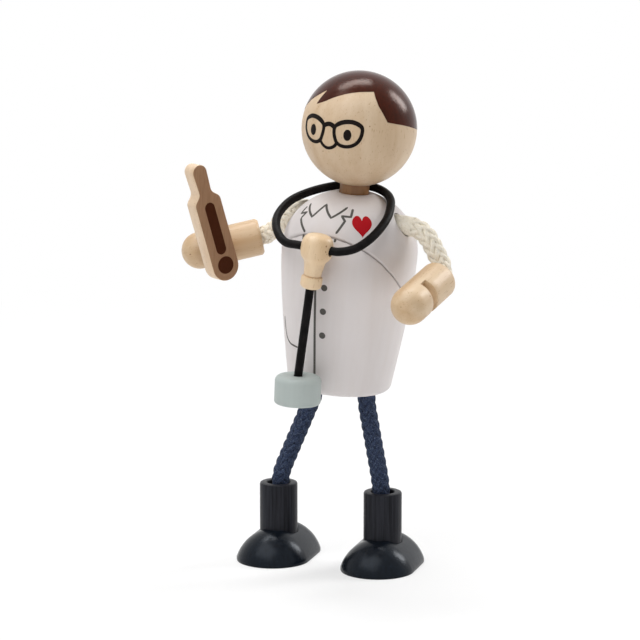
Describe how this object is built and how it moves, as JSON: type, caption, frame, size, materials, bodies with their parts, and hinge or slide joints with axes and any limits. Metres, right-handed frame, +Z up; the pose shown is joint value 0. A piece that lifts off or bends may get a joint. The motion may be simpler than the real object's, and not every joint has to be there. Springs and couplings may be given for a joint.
{
  "type": "bendable wooden doll",
  "caption": "Turned wooden doll in a printed coat, with wire-cored rope limbs that hold a pose, kerfed dowel hands, painted boots, a toy stethoscope and a toy thermometer.",
  "frame": {"origin": "on the floor, under the middle of the doll's box without its stethoscope", "axes": "+Z up, -Y the way the doll faces, +X towards the doll's left hand"},
  "size_m": [0.0776, 0.0451, 0.1295],
  "materials": {
    "beech": "clear satin lacquer",
    "coat_paint": "white satin paint",
    "cream_rope": "braided cotton",
    "navy_rope": "braided cotton",
    "steel_wire": "drawn wire",
    "boot_paint": "gloss paint",
    "black_cord": "waxed cord",
    "chest_piece_paint": "satin paint",
    "thermometer_paint": "matt stain"
  },
  "bodies": {
    "lower_torso": {"torso_lower": "coat_paint", "waist_pin": "beech", "right_hip_rope": "navy_rope", "right_hip_wire": "steel_wire", "left_hip_rope": "navy_rope", "left_hip_wire": "steel_wire"},
    "upper_torso": {"torso_upper": "coat_paint", "neck_peg": "beech", "shoulder_rope": "cream_rope", "shoulder_wire": "steel_wire"},
    "head": {"head": "beech"},
    "right_arm": {"right_arm_rope": "cream_rope", "right_arm_wire": "steel_wire"},
    "right_hand": {"right_hand": "beech", "right_wrist_rope": "cream_rope", "right_wrist_wire": "steel_wire"},
    "thermometer": {"thermometer": "thermometer_paint"},
    "left_arm": {"left_arm_rope": "cream_rope", "left_arm_wire": "steel_wire"},
    "left_hand": {"left_hand": "beech", "left_wrist_rope": "cream_rope", "left_wrist_wire": "steel_wire"},
    "right_leg": {"right_leg_rope": "navy_rope", "right_leg_wire": "steel_wire"},
    "right_foot": {"right_ankle_rope": "navy_rope", "right_ankle_wire": "steel_wire", "right_boot_shaft": "boot_paint", "right_shoe": "boot_paint"},
    "left_leg": {"left_leg_rope": "navy_rope", "left_leg_wire": "steel_wire"},
    "left_foot": {"left_ankle_rope": "navy_rope", "left_ankle_wire": "steel_wire", "left_boot_shaft": "boot_paint", "left_shoe": "boot_paint"},
    "stethoscope": {"stethoscope_loop": "black_cord", "stethoscope_yoke": "beech"},
    "chest_piece": {"stethoscope_cord": "black_cord", "chest_piece": "chest_piece_paint"}
  },
  "joints": [
    {"name": "waist_turn", "type": "hinge", "parent": "lower_torso", "child": "upper_torso", "pos_m": [0.00624, 0.00192, 0.0742], "axis": [0.0592, 0.7071, 0.7046], "range_deg": [-30, 30]},
    {"name": "head_turn", "type": "hinge", "parent": "upper_torso", "child": "head", "pos_m": [0.00964, 0.00322, 0.11476], "axis": [0.0837, 0, 0.9965], "continuous": true},
    {"name": "right_shoulder", "type": "hinge", "parent": "upper_torso", "child": "right_arm", "pos_m": [-0.00965, 0.00322, 0.0933], "axis": [0, 1, 0], "range_deg": [-10, 70]},
    {"name": "right_wrist", "type": "hinge", "parent": "right_arm", "child": "right_hand", "pos_m": [-0.01763, 0.00697, 0.08511], "axis": [-0.4917, 0.5045, 0.7097], "range_deg": [-55, 3]},
    {"name": "thermometer_pull", "type": "slide", "parent": "right_hand", "child": "thermometer", "axis": [0.5386, -0.8348, -0.1138], "range_m": [0, 0.009]},
    {"name": "left_shoulder", "type": "hinge", "parent": "upper_torso", "child": "left_arm", "pos_m": [0.02808, 0.00322, 0.09013], "axis": [0, -1, 0], "range_deg": [-8, 70]},
    {"name": "left_wrist", "type": "hinge", "parent": "left_arm", "child": "left_hand", "pos_m": [0.0341, 0.00386, 0.07904], "axis": [-0.8714, 0.1599, -0.4639], "range_deg": [-75, 3]},
    {"name": "right_hip", "type": "hinge", "parent": "lower_torso", "child": "right_leg", "pos_m": [-0.00294, 0.00322, 0.04497], "axis": [1, 0, 0], "range_deg": [-75, 45]},
    {"name": "right_ankle", "type": "hinge", "parent": "right_leg", "child": "right_foot", "pos_m": [-0.01194, 0.00074, 0.0226], "axis": [1, 0, 0], "range_deg": [-30, 30]},
    {"name": "left_hip", "type": "hinge", "parent": "lower_torso", "child": "left_leg", "pos_m": [0.01181, 0.00322, 0.04373], "axis": [1, 0, 0], "range_deg": [-75, 45]},
    {"name": "left_ankle", "type": "hinge", "parent": "left_leg", "child": "left_foot", "pos_m": [0.01598, 0.00339, 0.0226], "axis": [1, 0, 0], "range_deg": [-30, 30]},
    {"name": "stethoscope_lift", "type": "hinge", "parent": "upper_torso", "child": "stethoscope", "pos_m": [0.00915, 0.00932, 0.09937], "axis": [0.9965, 0, -0.0837], "range_deg": [-35, 0]},
    {"name": "chest_piece_swing", "type": "hinge", "parent": "stethoscope", "child": "chest_piece", "pos_m": [0.00642, -0.01853, 0.07505], "axis": [0.9965, 0, -0.0837], "range_deg": [-45, 2]}
  ]
}
